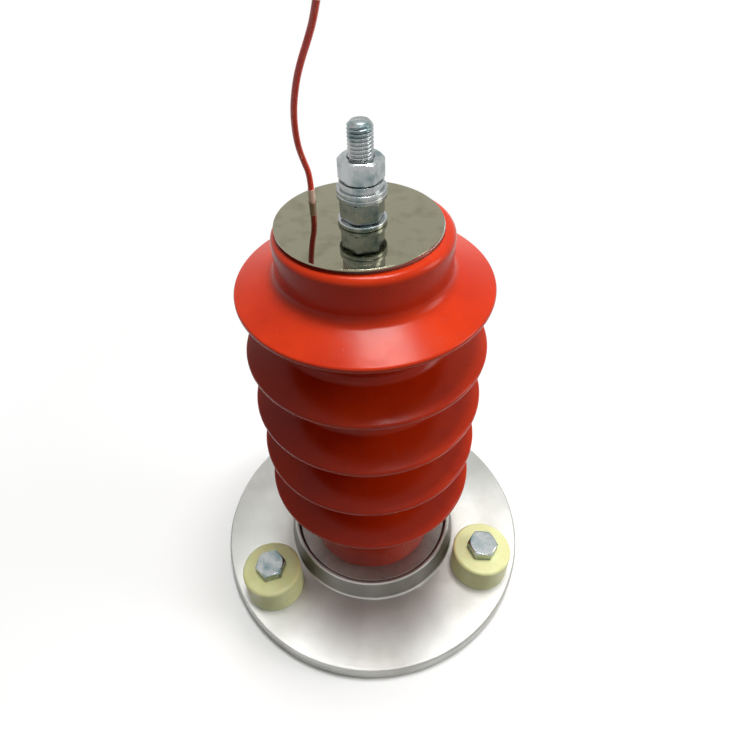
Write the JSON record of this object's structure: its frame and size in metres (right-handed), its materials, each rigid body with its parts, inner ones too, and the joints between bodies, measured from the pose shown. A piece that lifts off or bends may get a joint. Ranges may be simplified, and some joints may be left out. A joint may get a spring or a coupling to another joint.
{
  "type": "surge arrester",
  "caption": "Polymer-housed metal-oxide surge arrester with red silicone sheds, a round aluminium base flange on insulating bushings, a terminal stud and a thin red lead.",
  "frame": {"origin": "centre of the base flange's flat underside", "axes": "+Z along the arrester's axis, from the flange up to the terminal stud; +X to the right as the arrester is seen with two base bolts in front, -Y towards the viewer"},
  "size_m": [0.23, 0.23, 0.4037],
  "materials": {
    "flange_aluminium": "turned, satin",
    "fitting_aluminium": "machined",
    "silicone_red": "glossy moulded silicone",
    "bushing_cream": "satin moulded nylon",
    "zinc_steel": "bright zinc plating",
    "mirror_steel": "mirror-polished stainless steel",
    "spring_steel": "phosphated",
    "seal_black": "matt",
    "glass_fibre": "ground",
    "zinc_oxide": "fired ceramic with a glazed rim",
    "lead_red": "smooth insulation",
    "ferrule_clear": "pale translucent sleeve",
    "lug_tin": "tinned copper"
  },
  "bodies": {
    "root": {"mounting_flange": "flange_aluminium", "insulating_bushing_1": "bushing_cream", "insulating_bushing_2": "bushing_cream", "insulating_bushing_3": "bushing_cream", "base_bolt_1": "zinc_steel", "base_bolt_2": "zinc_steel", "base_bolt_3": "zinc_steel", "centre_screw": "zinc_steel", "foot_fitting": "fitting_aluminium", "cap_fitting": "fitting_aluminium", "lower_end_plate": "fitting_aluminium", "upper_end_plate": "fitting_aluminium", "contact_disc_1": "fitting_aluminium", "contact_disc_2": "fitting_aluminium", "contact_disc_3": "fitting_aluminium", "contact_disc_4": "fitting_aluminium", "contact_disc_5": "fitting_aluminium", "foot_seal": "seal_black", "cap_seal": "seal_black", "glass_fibre_tube": "glass_fibre", "zinc_oxide_block_1": "zinc_oxide", "zinc_oxide_block_2": "zinc_oxide", "zinc_oxide_block_3": "zinc_oxide", "zinc_oxide_block_4": "zinc_oxide", "zinc_oxide_block_5": "zinc_oxide", "zinc_oxide_block_6": "zinc_oxide", "disc_spring_1": "spring_steel", "disc_spring_2": "spring_steel", "disc_spring_3": "spring_steel", "disc_spring_4": "spring_steel", "silicone_housing": "silicone_red", "nameplate": "mirror_steel", "terminal_stud": "zinc_steel", "terminal_base_washer": "zinc_steel", "terminal_lower_nut": "zinc_steel", "terminal_clamp_washer_1": "zinc_steel", "terminal_clamp_washer_2": "zinc_steel", "terminal_spring_washer": "zinc_steel", "terminal_upper_nut": "zinc_steel", "lead_ferrule": "ferrule_clear", "lead_wire": "lead_red", "lead_lug": "lug_tin"}
  },
  "joints": []
}
